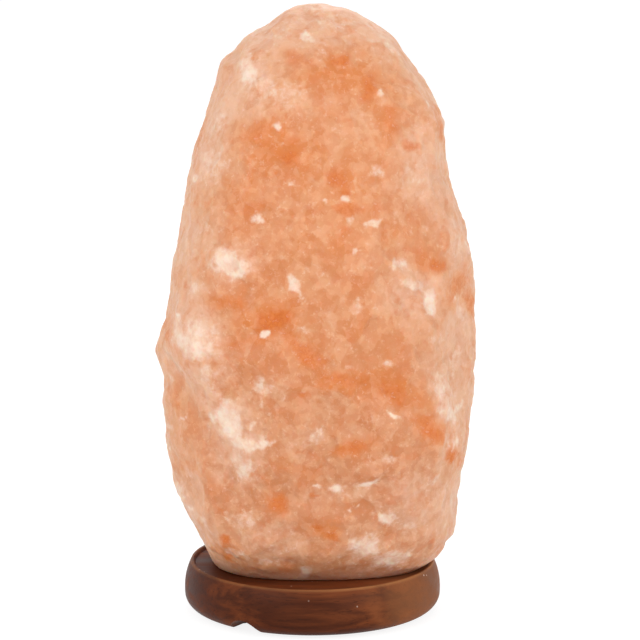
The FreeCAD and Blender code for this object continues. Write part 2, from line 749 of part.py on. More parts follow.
def shell_sleeve(radius):
    """Everything outside a radius, over the height of the screw shell."""
    return cut("shell_around", cylinder("shell_far", "holder_radius", "shell_height", z=BLOCK_TOP),
               cylinder("shell_near", radius, "shell_height", z=BLOCK_TOP))


def strap(name, start, end, screw_place):
    """A flat brass strap under the ceramic core, along X, with a hole for its terminal screw."""
    low = f"{BLOCK_LOW} - contact_thickness"
    return cut(name, box(name + "_blank", f"({end}) - ({start})", "contact_width", "contact_thickness", start,
                         "-contact_width / 2", low),
               cylinder(name + "_hole", "terminal_radius", "contact_thickness", screw_place, z=low))


def centre_contact():
    """The contact under the bulb's tip: a leaf on a rivet, and a strap to its terminal."""
    under = strap("centre_strap", "-terminal_offset - terminal_head_radius", "rivet_radius",
                  "-terminal_offset")
    rivet = cylinder("centre_rivet", "rivet_radius", "block_height + contact_rise - contact_thickness",
                     z=BLOCK_LOW)
    leaf = box("centre_leaf", "contact_width", "contact_width", "contact_thickness", "-contact_width / 2",
               "-contact_width / 2", f"{BLOCK_TOP} + contact_rise - contact_thickness * 2")
    dimple = cone("centre_dimple", "contact_width * 0.35", "rivet_radius / 2", "contact_thickness",
                  z=f"{BLOCK_TOP} + contact_rise - contact_thickness")
    return fuse("centre_contact", under, rivet, leaf, dimple)


def side_contact():
    """The post that feeds the screw shell, and its strap."""
    under = strap("side_strap", "post_offset - post_radius", "terminal_offset + terminal_head_radius",
                  "terminal_offset")
    return fuse("side_contact", under,
                cylinder("side_post", "post_radius", "block_height", "post_offset", z=BLOCK_LOW))


def terminal_screws():
    """The screws that hold the lead's cores under the straps."""
    screws = []
    for side, sign in SIDES.items():
        x = f"{sign} * terminal_offset"
        low = f"{BLOCK_LOW} - contact_thickness - terminal_head_height"
        head = cylinder(f"terminal_head_{side}", "terminal_head_radius", "terminal_head_height", x,
                        z=low)
        slot = box(f"terminal_slot_{side}", "terminal_head_radius * 2", "terminal_head_height / 3",
                   "terminal_head_height / 2", f"{x} - terminal_head_radius", "-terminal_head_height / 6", low)
        shank = cylinder(f"terminal_shank_{side}", "terminal_radius", "block_height + contact_thickness", x,
                         z=f"{BLOCK_LOW} - contact_thickness")
        screws.append(fuse(f"terminal_{side}", cut(f"terminal_cut_{side}", head, slot), shank))
    return group("terminal_screws", screws)


# ---------------------------------------------------------------- bulb
def bulb_cap():
    """The screw cap, with closed ridges for its thread and a flared collar."""
    low, end = CAP_LOW, CAP_END
    tube = cylinder("cap_tube", "thread_root", "cap_length", z=low)
    ridges = [torus(f"cap_ridge_{i}", "thread_radius - thread_rounding", "thread_rounding",
                    f"{low} + thread_pitch * {i + 0.5}") for i in range(int(size("thread_turns")))]
    collar = cone("cap_collar", "thread_root", "collar_radius", "cap_length - thread_turns * thread_pitch",
                  z=f"{low} + thread_turns * thread_pitch")
    way = cylinder("cap_way", "thread_root - cap_wall", "cap_length * 2", z=f"{low} - cap_length / 2")
    return cut("bulb_cap", fuse("cap_blank", tube, collar, *ridges), way)


def bulb_insulator():
    """The black glass at the foot of the cap."""
    cone_part = cone("insulator_cone", "tip_radius + insulator_land", "thread_root", "insulator_height",
                     z=f"{BULB_LOW} + tip_height")
    plug = cylinder("insulator_plug", "thread_root - cap_wall", "insulator_height / 2", z=CAP_LOW)
    return fuse("bulb_insulator", cone_part, plug)


def bulb_tip():
    low = BULB_LOW
    return fuse("bulb_tip",
                cone("tip_solder", "tip_radius / 2", "tip_radius", "tip_height / 2", z=low),
                cylinder("tip_plate", "tip_radius", "tip_height / 2", z=f"{low} + tip_height / 2"))


def bulb_glass():
    """The envelope, round at the top and open at the neck."""
    neck, inner_neck = "(thread_root - cap_wall - glass_wall)", "(thread_root - cap_wall - glass_wall * 2)"
    foot, neck_top = f"({CAP_LOW} + cap_length / 2)", f"({CAP_END} + glass_neck_rise)"
    middle, inside = f"({BULB_TOP} - bulb_radius)", "(bulb_radius - glass_wall)"
    return turned("bulb_glass", [
        (neck, foot),
        (neck, neck_top),
        ("arc", f"({neck} + bulb_radius) / 2 + glass_flare",
         f"({neck_top} + {middle}) / 2 - glass_flare_drop"),
        ("bulb_radius", middle),
        ("arc", "bulb_radius * cos(45 deg)", f"{middle} + bulb_radius * cos(45 deg)"),
        ("0", BULB_TOP),
        ("0", f"{BULB_TOP} - glass_wall"),
        ("arc", f"{inside} * cos(45 deg)", f"{middle} + {inside} * cos(45 deg)"),
        (inside, middle),
        ("arc", f"({neck} + bulb_radius) / 2 + glass_flare - glass_wall",
         f"({neck_top} + {middle}) / 2 - glass_flare_drop"),
        (inner_neck, neck_top),
        (inner_neck, foot),
    ])


def bulb_stem():
    """The glass foot inside the envelope."""
    foot = f"({CAP_LOW} + cap_length / 2)"
    flare = cylinder("stem_flare", "thread_root - cap_wall - glass_wall * 2", "glass_wall * 2", z=foot)
    rise = cone("stem_rise", "stem_radius", "stem_radius * 0.6", "stem_height", z=foot)
    return fuse("bulb_stem", flare, rise)


def stem_top():
    return size(f"{CAP_LOW} + cap_length / 2 + stem_height")


def bulb_leads():
    """The two stiff wires that carry the filament."""
    leads = []
    for side, sign in SIDES.items():
        base, rise = size("stem_radius") / 3 * sign, size("lead_rise")
        spread, low = size("lead_spread") * sign, stem_top()
        points = [FreeCAD.Vector(base, 0, low), FreeCAD.Vector(base, 0, low + rise / 5),
                  FreeCAD.Vector(spread, 0, low + rise * 0.8), FreeCAD.Vector(spread, 0, low + rise)]
        leads.append(shaped(f"lead_{side}", bent_wire(points, size("lead_radius"), rise / 20)))
    return group("bulb_leads", leads)


def bulb_filament():
    """The lamp wire, standing on the two leads."""
    spread, radius = size("lead_spread"), size("filament_radius")
    low = stem_top() + size("lead_rise")
    arch = size("filament_arch")
    points = [FreeCAD.Vector(-spread, 0, low), FreeCAD.Vector(-spread, 0, low + arch / 2),
              FreeCAD.Vector(0, 0, low + arch), FreeCAD.Vector(spread, 0, low + arch / 2),
              FreeCAD.Vector(spread, 0, low)]
    return shaped("bulb_filament", bent_wire(points, radius, 2.5 * radius))


def filament_support():
    """The thin wire that holds up the middle of the filament."""
    low = f"({CAP_LOW} + cap_length / 2 + stem_height)"
    reach = "lead_rise + filament_arch - filament_radius - support_radius"
    return cylinder("filament_support", "support_radius", reach, z=low)


# ---------------------------------------------------------------- the lamp
def build_all():
    """Every sub-part under its own label, in the order that they come off on a bench."""
    pieces = [
        salt_crystal(), wooden_base(), floor_pads(), base_screws(), screw_anchors(),
        clip_bracket(), clip_pins(), lead_nipple(), nipple_nut(),
        holder_cap(), holder_sleeve(), terminal_block(), socket_shell(),
        centre_contact(), side_contact(), terminal_screws(),
        bulb_glass(), bulb_cap(), bulb_insulator(), bulb_tip(), bulb_stem(), bulb_leads(),
        bulb_filament(), filament_support(),
    ]
    pieces += [clip_spring(side, sign) for side, sign in SIDES.items()]
    return pieces


def check(pieces):
    """Stops the run if a feature failed or a sub-part is not a valid solid."""
    for feature in doc.Objects:
        if "Invalid" in feature.State or "Error" in feature.State:
            raise RuntimeError(f"{feature.Name} failed: {feature.State}")
    for piece in pieces:
        shape = piece.Shape
        if shape.isNull() or not shape.isValid() or not shape.Solids:
            raise RuntimeError(f"{piece.Label} is not a valid solid")


def save_parts(pieces):
    os.makedirs(PARTS_FOLDER, exist_ok=True)
    for piece in pieces:
        piece.Shape.exportStep(os.path.join(PARTS_FOLDER, piece.Label + ".step"))
        print(f"{piece.Label}: {len(piece.Shape.Solids)} solids, {piece.Shape.Volume / 1000:.3f} cm3")


def main():
    fill_sheet()
    pieces = build_all()
    doc.recompute()
    check(pieces)
    save_parts(pieces)


main()
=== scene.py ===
"""Looks of the salt crystal lamp: the rough crystal, the turned base and the fitting inside, in metres."""
import math

import bpy
import numpy as np
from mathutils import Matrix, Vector, noise
from mathutils.kdtree import KDTree


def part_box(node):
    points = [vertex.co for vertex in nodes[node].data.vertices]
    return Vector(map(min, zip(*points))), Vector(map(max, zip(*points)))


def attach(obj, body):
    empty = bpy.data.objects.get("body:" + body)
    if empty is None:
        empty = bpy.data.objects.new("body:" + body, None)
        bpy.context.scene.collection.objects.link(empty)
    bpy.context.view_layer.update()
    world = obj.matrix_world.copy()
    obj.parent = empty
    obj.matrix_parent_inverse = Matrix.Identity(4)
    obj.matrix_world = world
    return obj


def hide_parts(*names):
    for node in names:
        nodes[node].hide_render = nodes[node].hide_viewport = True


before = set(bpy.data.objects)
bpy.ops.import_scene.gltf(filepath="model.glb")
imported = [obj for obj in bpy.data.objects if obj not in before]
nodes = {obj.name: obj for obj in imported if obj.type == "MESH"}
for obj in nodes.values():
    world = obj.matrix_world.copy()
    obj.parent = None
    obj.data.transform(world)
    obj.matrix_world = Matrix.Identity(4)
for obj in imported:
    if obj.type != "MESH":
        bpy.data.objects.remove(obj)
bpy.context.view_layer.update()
MM = 0.001

# ---------------------------------------------------------------- camera, as the photograph has it
IMAGE_SIDE = 640
CAMERA_DISTANCE = 1.5
CAMERA_HEIGHT = 0.4219
CAMERA_RIGHT = 0.0034
CAMERA_PITCH = math.radians(10.957)
LENS_MM = 193.3
SENSOR_MM = 36.0


def make_camera():
    camera = bpy.data.objects.new("camera", bpy.data.cameras.new("camera"))
    bpy.context.collection.objects.link(camera)
    camera.location = (CAMERA_RIGHT, -CAMERA_DISTANCE, CAMERA_HEIGHT)
    camera.rotation_euler = (math.pi / 2 - CAMERA_PITCH, 0, 0)
    camera.data.lens = LENS_MM
    camera.data.sensor_width = SENSOR_MM
    bpy.context.scene.camera = camera


def photo_place(points):
    """Pixel of the photograph that each point shows at, as an (n, 2) array."""
    right, away, up = (points - np.array((CAMERA_RIGHT, -CAMERA_DISTANCE, CAMERA_HEIGHT))).T
    cos, sin = math.cos(CAMERA_PITCH), math.sin(CAMERA_PITCH)
    ahead, raised = away * cos - up * sin, away * sin + up * cos
    focal = LENS_MM / SENSOR_MM * IMAGE_SIDE
    middle = IMAGE_SIDE / 2
    return np.stack((middle + focal * right / ahead, middle - focal * raised / ahead), axis=1)


# ---------------------------------------------------------------- node material helpers
def new_material(name):
    material = bpy.data.materials.new(name)
    material.use_nodes = True
    tree = material.node_tree
    return material, tree, tree.nodes["Principled BSDF"]


def linear(colour):
    """A colour given in 0-255 screen values, as linear light with full alpha."""
    shares = [c / 255 for c in colour]
    return [c / 12.92 if c <= 0.04045 else ((c + 0.055) / 1.055) ** 2.4 for c in shares] + [1.0]


def feed(tree, node, inputs):
    """Sets a node's inputs by number or name, each to a constant or from another node's socket."""
    for key, value in inputs.items():
        if isinstance(value, bpy.types.NodeSocket):
            tree.links.new(value, node.inputs[key])
        else:
            node.inputs[key].default_value = value


def add(tree, kind, inputs, **settings):
    """A node with its properties and its inputs set."""
    node = tree.nodes.new("ShaderNode" + kind)
    for name, value in settings.items():
        setattr(node, name, value)
    feed(tree, node, inputs)
    return node


def attribute(tree, name):
    return add(tree, "Attribute", {}, attribute_name=name).outputs["Fac"]


def mix(tree, factor, first, second):
    """Mixes two colours by a factor. Each may be a socket or a screen colour."""
    first, second = (linear(colour) if isinstance(colour, tuple) else colour for colour in (first, second))
    return add(tree, "Mix", {0: factor, 6: first, 7: second}, data_type="RGBA").outputs[2]


def ramp(tree, value, low, high, low_out=0.0, high_out=1.0, eased=True):
    """Maps a value from the span low to high onto low_out to high_out, clamped."""
    inputs = {"Value": value, "From Min": low, "From Max": high, "To Min": low_out, "To Max": high_out}
    course = "SMOOTHSTEP" if eased else "LINEAR"
    return add(tree, "MapRange", inputs, interpolation_type=course).outputs["Result"]


def calc(tree, operation, first, second):
    return add(tree, "Math", {0: first, 1: second}, operation=operation).outputs[0]


def times(tree, value, factor):
    return calc(tree, "MULTIPLY", value, factor)


def about_half(tree, value, factor):
    """A noise value as its distance from one half, times a factor."""
    return times(tree, calc(tree, "SUBTRACT", value, 0.5), factor)


def object_places(tree):
    return add(tree, "TexCoord", {}).outputs["Object"]


def places(tree, stretch=(1, 1, 1), turn=(0, 0, 0)):
    """Object coordinates in metres, stretched and turned."""
    inputs = {"Vector": object_places(tree), "Scale": stretch, "Rotation": turn}
    return add(tree, "Mapping", inputs).outputs[0]


def noise_at(tree, where, per_metre, detail=4.0, rough=0.55, distort=0.0):
    """Noise between 0 and 1, with about that many features to the metre."""
    inputs = {"Vector": where, "Scale": per_metre, "Detail": detail, "Roughness": rough,
              "Distortion": distort}
    return add(tree, "TexNoise", inputs).outputs["Fac"]


def cell_distance(tree, where, per_metre):
    """Distance from each place to the middle of its cell."""
    return add(tree, "TexVoronoi", {"Vector": where, "Scale": per_metre}).outputs["Distance"]


def cell_tint(tree, where, per_metre, soft):
    """A random value for each place's cell, with softened borders."""
    inputs = {"Vector": where, "Scale": per_metre, "Smoothness": soft}
    colour = add(tree, "TexVoronoi", inputs, feature="SMOOTH_F1").outputs["Color"]
    return add(tree, "SeparateColor", {0: colour}).outputs["Red"]


def warped(tree, where, per_metre, reach_mm):
    """Places shifted at random by up to about that reach."""
    noisy = add(tree, "TexNoise", {"Vector": where, "Scale": per_metre, "Detail": 3.0}).outputs["Color"]
    shift = add(tree, "VectorMath", {0: noisy, 1: (0.5, 0.5, 0.5)}, operation="SUBTRACT").outputs[0]
    shift = add(tree, "VectorMath", {0: shift, "Scale": 2 * reach_mm * MM}, operation="SCALE").outputs[0]
    return add(tree, "VectorMath", {0: where, 1: shift}, operation="ADD").outputs[0]


def bump(tree, height, depth_mm, strength, under=None):
    """Normals of a surface that is raised by the height, over those of another bump if given."""
    inputs = {"Height": height, "Distance": depth_mm * MM, "Strength": strength}
    if under is not None:
        inputs["Normal"] = under
    return add(tree, "Bump", inputs).outputs[0]


def tinted(tree, colour, sources, tints):
    """Lays tints over a colour in turn. Each has the source that it follows, the span of that source over
    which it goes from its first to its second strength, the two strengths, and its screen colour."""
    for name, low, high, first, second, tint in tints:
        colour = mix(tree, ramp(tree, sources[name], low, high, first, second), colour, tint)
    return colour


def assign(material, *names):
    for name in names:
        obj = nodes[name]
        obj.data.materials.clear()
        obj.data.materials.append(material)


# ---------------------------------------------------------------- rough crystal: shape
RNG_SEED = 41
VOXEL_MM = 1.15
FOOT_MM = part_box("salt_crystal")[0][2] / MM
# The skin is left as it is in the bore and round the anchors, and is roughened outside them. Each span goes
# from where nothing changes to where it changes in full.
BORE_CLEAR_MM = (26.5, 31.0)
BORE_TOP_MM = (117.0, 123.0)
ANCHOR_CLEAR_MM = 5.0  # nothing changes this near to an anchor's axis, up to a little above its end
ABOVE_ANCHOR_MM = 2.0
ANCHOR_SPREAD_MM = 10.0  # points nearer to each other than this belong to one anchor
FOOT_SHARE = 0.12  # how much the sawn foot changes, as a share of what the rest does
FOOT_FADE_MM = (0.4, 7.0)  # heights above the foot between which that share becomes the whole
EVEN_ROUNDS = 12  # rounds of averaging that round off the solid's flat faces, before the roughness is added
SOFTEN_ROUNDS = 2  # and after it
SETTLE_MM = 0.4  # how far the rough skin lies inside the smooth one on average
PEAK_MM = 0.7  # relief above this height is pressed down to a share of what stands above it
PEAK_SHARE = 0.3

# The crystal's own roughness: cell size in mm and depth in mm of its chips and of its waves
FACETS = ((13.0, 0.55), (6.0, 0.28))
WAVES = ((14.0, 0.4), (6.0, 0.22), (3.0, 0.12))
FACET_TILT = 1.6
FACET_LEVEL = 0.7  # how far chips differ in level, against how far they tilt
FACET_BEND_MM = 3.0  # how far the borders of the chips wander

# Broken steps of the front face, followed in pixels of the photograph: the line, how far the face on its
# right hand stands out in mm besides what the solid has, and over how many pixels that fades out
STEPS = (
    (((162, 352), (176, 371), (196, 387), (208, 410), (226, 446), (236, 480)), -1.2, 30),
    (((243, 48), (226, 84), (206, 116), (196, 150), (186, 184)), -0.8, 18),
    (((424, 92), (436, 122), (441, 160)), 0.6, 20),
    (((452, 372), (449, 408), (447, 440), (441, 470)), 0.7, 16),
    (((318, 372), (356, 380), (396, 392), (430, 410)), -0.6, 24),
    (((250, 330), (284, 322), (310, 342), (352, 372)), -0.6, 20),
    (((300, 492), (340, 486), (388, 480)), -0.6, 20),
    (((214, 480), (250, 520), (262, 560)), 0.5, 20),
    (((346, 540), (372, 532), (398, 548)), 0.6, 18),
    (((212, 248), (246, 250), (262, 276)), 0.9, 20),
    (((384, 256), (416, 276), (432, 322)), 0.9, 22),
    (((352, 60), (374, 84), (404, 108)), 0.9, 22),
    (((262, 146), (300, 166), (340, 190)), -0.9, 22),
)
STEP_RISE_PX = (-2.0, 3.5)  # the step itself, across the line
STEP_HOLD = 0.25  # share of the fading distance over which a step keeps its full depth
STEP_WOBBLE = (14.0, 5.0)  # how the lines wander: feature size in mm, reach in pixels
FRONT_FACING = (0.0, 0.4)  # how squarely the surface faces the front where steps begin and are full
# Places in the endless noise from which each field is read, so that no two fields are alike
NOISE_AT = {"bend": 5, "waves": 20, "wobble_across": 40, "wobble_down": 44, "rags": 60, "wander": 70}


def smooth(value, low, high):
    t = np.clip((value - low) / (high - low), 0, 1)
    return t * t * (3 - 2 * t)


def vertex_array(mesh, collection, field):
    values = np.empty(len(mesh.vertices) * 3)
    collection.foreach_get(field, values)
    return values.reshape(-1, 3)


def remeshed_copy(node, name, voxel):
    """A copy of a CAD node's shape in even small faces, as an object of its own."""
    source = bpy.data.objects.new(name, nodes[node].data.copy())
    bpy.context.collection.objects.link(source)
    modifier = source.modifiers.new("voxels", "REMESH")
    modifier.mode = "VOXEL"
    modifier.voxel_size = voxel
    modifier.adaptivity = 0.0
    depsgraph = bpy.context.evaluated_depsgraph_get()
    mesh = bpy.data.meshes.new_from_object(source.evaluated_get(depsgraph))
    source.modifiers.clear()
    source.data = mesh
    return source


def edge_pairs(mesh):
    pairs = np.empty(len(mesh.edges) * 2, dtype=np.int64)
    mesh.edges.foreach_get("vertices", pairs)
    return pairs.reshape(-1, 2)


def averaged(values, pairs, rounds, share=0.5):
    """Values per vertex, drawn towards those of their neighbours."""
    count = np.bincount(pairs.ravel(), minlength=len(values))[:, None]
    for _ in range(rounds):
        total = np.zeros_like(values)
        for axis in range(values.shape[1]):
            total[:, axis] = np.bincount(pairs[:, 0], values[pairs[:, 1], axis], len(values))
            total[:, axis] += np.bincount(pairs[:, 1], values[pairs[:, 0], axis], len(values))
        values = values + share * (total / np.maximum(count, 1) - values)
    return values


def unit(vectors):
    return vectors / np.maximum(np.linalg.norm(vectors, axis=1), 1e-9)[:, None]


def noise_field(points, size_mm, offset, octaves=1):
    """Smooth noise between about -1 and 1 at each point (in mm), with features of that size."""
    shift = Vector((offset, -offset * 1.7, offset * 0.6))
    return np.array([noise.fractal(Vector(p) / size_mm + shift, 1.0, 2.0, octaves) for p in points])


def facet_field(points, size_mm, rng):
    """Flat chips: each point takes the tilted plane of the nearest of many scattered seeds."""
    low, high = points.min(axis=0) - size_mm, points.max(axis=0) + size_mm
    counts = np.ceil((high - low) / size_mm).astype(int)
    grid = np.stack(np.meshgrid(*(np.arange(n) for n in counts), indexing="ij"), axis=-1).reshape(-1, 3)
    seeds = low + (grid + rng.random(grid.shape)) * size_mm
    tilts = unit(rng.normal(size=seeds.shape))
    levels = rng.uniform(-0.5, 0.5, len(seeds))
    tree = KDTree(len(seeds))
    for i, seed in enumerate(seeds):
        tree.insert(seed, i)
    tree.balance()
    nearest = np.array([tree.find(p)[1] for p in points])
    rise = np.einsum("ij,ij->i", points - seeds[nearest], tilts[nearest]) / size_mm
    return rise * FACET_TILT + levels[nearest] * FACET_LEVEL


def own_relief(points):
    """How far the crystal's own chips and waves stand out at each point, in mm."""
    rng = np.random.default_rng(RNG_SEED)
    depth = np.zeros(len(points))
    for number, (cell, amount) in enumerate(FACETS):
        bend = noise_field(points, cell * 0.8, NOISE_AT["bend"] + number)
        depth += amount * facet_field(points + FACET_BEND_MM * bend[:, None], cell, rng)
    for number, (cell, amount) in enumerate(WAVES):
        depth += amount * noise_field(points, cell, NOISE_AT["waves"] + number)
    return np.minimum(depth, PEAK_MM + PEAK_SHARE * (depth - PEAK_MM)) - SETTLE_MM


def step_depth(pixels, line, depth, reach):
    """Depth in mm of a step along a line of pixels: full on the line's right hand, fading away from it."""
    best = np.full(len(pixels), np.inf)
    side = np.zeros(len(pixels))
    for start, end in zip(line, line[1:]):
        a, run = np.array(start, float), np.array(end, float) - np.array(start, float)
        along = np.clip((pixels - a) @ run / (run @ run), 0, 1)
        gap = pixels - (a + along[:, None] * run)
        distance = np.hypot(*gap.T)
        nearer = distance < best
        best = np.where(nearer, distance, best)
        side = np.where(nearer, run[0] * gap[:, 1] - run[1] * gap[:, 0], side)
    rise = smooth(best * np.sign(side), *STEP_RISE_PX)
    fade = 1 - smooth(best, reach * STEP_HOLD, reach)
    return depth * rise * fade


def step_relief(points, normals):
    """How far the broken steps of the front face stand out at each point, in mm."""
    size, reach_px = STEP_WOBBLE
    wobble = [noise_field(points, size, NOISE_AT[name]) for name in ("wobble_across", "wobble_down")]
    pixels = photo_place(points * MM) + reach_px * np.stack(wobble, axis=1)
    depth = sum(step_depth(pixels, line, amount, reach) for line, amount, reach in STEPS)
    return depth * smooth(-normals[:, 1], *FRONT_FACING)


def anchor_axes():
    """Where the screw anchors stand, in mm, from the loose parts of their own node."""
    mesh = nodes["screw_anchors"].data
    points = vertex_array(mesh, mesh.vertices, "co")[:, :2] / MM
    axes = []
    for point in points:
        if all(np.hypot(*(point - axis)) > ANCHOR_SPREAD_MM for axis in axes):
            axes.append(point)
    return [points[np.hypot(*(points - axis).T) < ANCHOR_SPREAD_MM].mean(axis=0) for axis in axes]


def loose_weight(points):
    """1 on the crystal's outside, 0 in its bore and in the anchor holes, and little on its sawn foot."""
    height = points[:, 2]
    from_axis = np.hypot(points[:, 0], points[:, 1])
    weight = np.maximum(smooth(from_axis, *BORE_CLEAR_MM), smooth(height, *BORE_TOP_MM))
    anchor_gap = np.min([np.hypot(points[:, 0] - x, points[:, 1] - y) for x, y in anchor_axes()], axis=0)
    anchor_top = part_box("screw_anchors")[1][2] / MM
    weight = np.where((anchor_gap < ANCHOR_CLEAR_MM) & (height < anchor_top + ABOVE_ANCHOR_MM), 0, weight)
    return weight * (FOOT_SHARE + (1 - FOOT_SHARE) * smooth(height - FOOT_MM, *FOOT_FADE_MM))


def make_crystal():
    """The rough crystal round its bore, and what the colours need to know of each of its points."""
    piece = remeshed_copy("salt_crystal", "rough_crystal", VOXEL_MM * MM)
    mesh = piece.data
    points = vertex_array(mesh, mesh.vertices, "co") / MM
    pairs = edge_pairs(mesh)
    weight = loose_weight(points)[:, None]
    points = points + (averaged(points, pairs, EVEN_ROUNDS) - points) * weight
    normals = unit(averaged(vertex_array(mesh, mesh.vertex_normals, "vector"), pairs, EVEN_ROUNDS))
    depth = own_relief(points) + step_relief(points, normals)
    points = points + normals * depth[:, None] * weight
    points = points + (averaged(points, pairs, SOFTEN_ROUNDS) - points) * weight
    points[:, 2] = np.maximum(points[:, 2], FOOT_MM)
    mesh.vertices.foreach_set("co", (points * MM).ravel())
    mesh.update()
    mesh.polygons.foreach_set("use_smooth", [True] * len(mesh.polygons))
    return piece, points, normals


# ---------------------------------------------------------------- rough crystal: colours
# Patches seen in the photograph: middle x and y in its pixels, half width, half height, lean in degrees,
# strength
PALE_PATCHES = (
    (305, 36, 9, 4, 5, 0.85), (248, 68, 9, 17, -8, 0.7), (314, 9, 16, 5, 0, 0.5),
    (392, 45, 6, 15, -40, 0.6), (273, 90, 34, 14, 12, 0.4), (323, 56, 12, 6, 20, 0.4),
    (382, 91, 3, 6, 0, 0.85), (275, 128, 4, 4, 0, 0.9), (220, 122, 8, 10, 10, 0.5),
    (375, 125, 6, 4, 20, 0.4), (376, 173, 9, 7, 30, 0.5), (213, 165, 12, 20, 15, 0.45),
    (294, 184, 8, 4, 20, 0.5), (345, 199, 5, 3, 0, 0.9), (325, 201, 3, 2, 0, 0.8), (258, 219, 6, 5, 0, 0.7),
    (297, 219, 7, 3, 0, 0.6), (373, 223, 9, 4, -10, 0.85), (351, 218, 5, 4, 0, 0.5),
    (354, 252, 3, 8, 5, 0.75), (226, 262, 17, 13, 20, 1.0), (240, 270, 12, 9, 0, 0.9),
    (400, 264, 9, 7, 10, 0.75), (436, 112, 8, 13, -15, 0.5), (456, 236, 6, 20, -8, 0.4),
    (293, 284, 5, 11, -38, 0.9), (304, 300, 3, 8, -25, 0.6), (430, 302, 8, 14, 8, 0.9),
    (412, 284, 13, 5, 25, 0.6), (192, 287, 9, 8, 0, 0.55), (180, 314, 4, 4, 0, 0.95),
    (192, 340, 25, 22, 10, 0.75), (206, 372, 14, 8, 40, 0.6), (177, 330, 12, 18, 10, 0.45),
    (264, 333, 4, 3, 0, 1.0), (358, 306, 5, 9, 10, 0.5), (301, 331, 9, 8, 0, 0.35),
    (264, 387, 9, 9, 0, 0.75), (262, 400, 3, 8, 0, 0.5), (388, 363, 6, 4, 10, 0.5),
    (463, 313, 6, 7, 0, 0.45), (454, 385, 3, 20, 0, 0.35), (455, 415, 3, 11, 0, 0.5),
    (226, 414, 12, 16, -12, 1.0), (231, 430, 12, 12, 0, 0.9), (243, 443, 16, 8, 12, 0.95),
    (264, 444, 13, 6, -8, 0.85), (251, 423, 5, 6, 0, 0.6), (241, 468, 11, 17, -10, 0.65),
    (184, 417, 6, 2, 0, 0.7), (394, 416, 8, 3, 32, 0.8), (318, 437, 10, 9, 0, 0.5),
    (455, 442, 4, 11, 0, 0.7), (435, 340, 9, 7, 0, 0.3), (192, 508, 3, 3, 0, 0.95),
    (240, 520, 17, 10, 15, 0.45), (318, 484, 6, 2, 0, 0.7), (335, 489, 11, 5, -10, 0.85),
    (367, 484, 15, 4, -8, 0.75), (351, 507, 3, 3, 0, 1.0), (358, 507, 3, 2, -50, 0.9),
    (388, 517, 7, 8, 0, 0.9), (434, 481, 8, 6, 0, 0.5), (392, 461, 9, 5, -20, 0.5),
    (365, 548, 16, 15, 0, 0.85), (390, 560, 19, 9, 0, 0.8), (306, 573, 6, 6, 0, 0.85),
    (411, 528, 11, 6, 0, 0.4), (453, 502, 4, 6, 0, 0.6), (238, 554, 14, 4, 20, 0.55),
    (268, 562, 9, 4, 10, 0.5), (285, 551, 9, 4, -25, 0.4), (350, 367, 6, 3, 0, 0.4),
    (207, 232, 10, 6, 0, 0.3), (172, 378, 8, 3, 40, 0.5), (215, 392, 4, 9, -35, 0.6),
    (412, 180, 18, 22, 20, 0.22), (330, 20, 22, 8, 10, 0.3), (280, 30, 16, 7, -30, 0.3),
)
DEEP_PATCHES = (
    (341, 62, 9, 5, -25, 0.95), (297, 58, 20, 8, 20, 0.6), (371, 84, 13, 8, 40, 0.85),
    (368, 98, 9, 7, 0, 0.8), (290, 161, 9, 9, 0, 1.0), (257, 133, 13, 12, 10, 0.75),
    (296, 140, 9, 6, 0, 0.7), (392, 122, 7, 14, -20, 0.6), (412, 145, 7, 5, 0, 0.9),
    (335, 178, 8, 14, -45, 0.85), (346, 192, 6, 5, 0, 0.9), (351, 209, 17, 6, 8, 0.85),
    (375, 211, 6, 9, 0, 0.65), (385, 238, 4, 13, 0, 0.65), (216, 202, 22, 5, 5, 0.4),
    (257, 207, 15, 6, 5, 0.5), (346, 230, 9, 4, 10, 0.6), (436, 265, 10, 6, 10, 0.95),
    (412, 250, 14, 6, 20, 0.55), (308, 162, 4, 7, 0, 0.5), (275, 320, 18, 12, -15, 1.0),
    (228, 304, 18, 8, 15, 0.65), (284, 334, 14, 8, 35, 0.85), (306, 352, 26, 9, 38, 0.9),
    (240, 345, 13, 5, -20, 0.65), (344, 381, 20, 7, 15, 0.75), (306, 398, 7, 4, 0, 0.95),
    (390, 394, 26, 8, 18, 0.75), (424, 420, 15, 7, 25, 0.75), (177, 405, 6, 5, 0, 0.55),
    (192, 363, 7, 3, 20, 0.6), (449, 433, 4, 6, 0, 0.9), (293, 300, 10, 5, -30, 0.5),
    (173, 273, 6, 12, 10, 0.5), (433, 434, 15, 8, 45, 0.85), (451, 455, 5, 7, 0, 1.0),
    (352, 447, 22, 6, -12, 0.65), (276, 503, 10, 10, 0, 0.8), (318, 527, 9, 3, 8, 1.0),
    (335, 537, 9, 3, 32, 0.85), (314, 495, 5, 2, 0, 0.85), (224, 539, 5, 5, 0, 1.0),
    (230, 557, 6, 3, 0, 0.9), (213, 490, 12, 10, 20, 0.5), (283, 470, 18, 4, 28, 0.5),
    (188, 463, 14, 6, 25, 0.5), (289, 570, 12, 3, 0, 0.5), (331, 547, 12, 8, 10, 0.4),
    (438, 200, 8, 12, 0, 0.35), (225, 250, 8, 5, 0, 0.4), (370, 330, 30, 14, 0, 0.25),
    (330, 110, 26, 16, 20, 0.35), (316, 306, 14, 6, -20, 0.4), (250, 175, 20, 8, 10, 0.3),
    (236, 188, 14, 6, -10, 0.35), (420, 455, 10, 8, 30, 0.4),
)
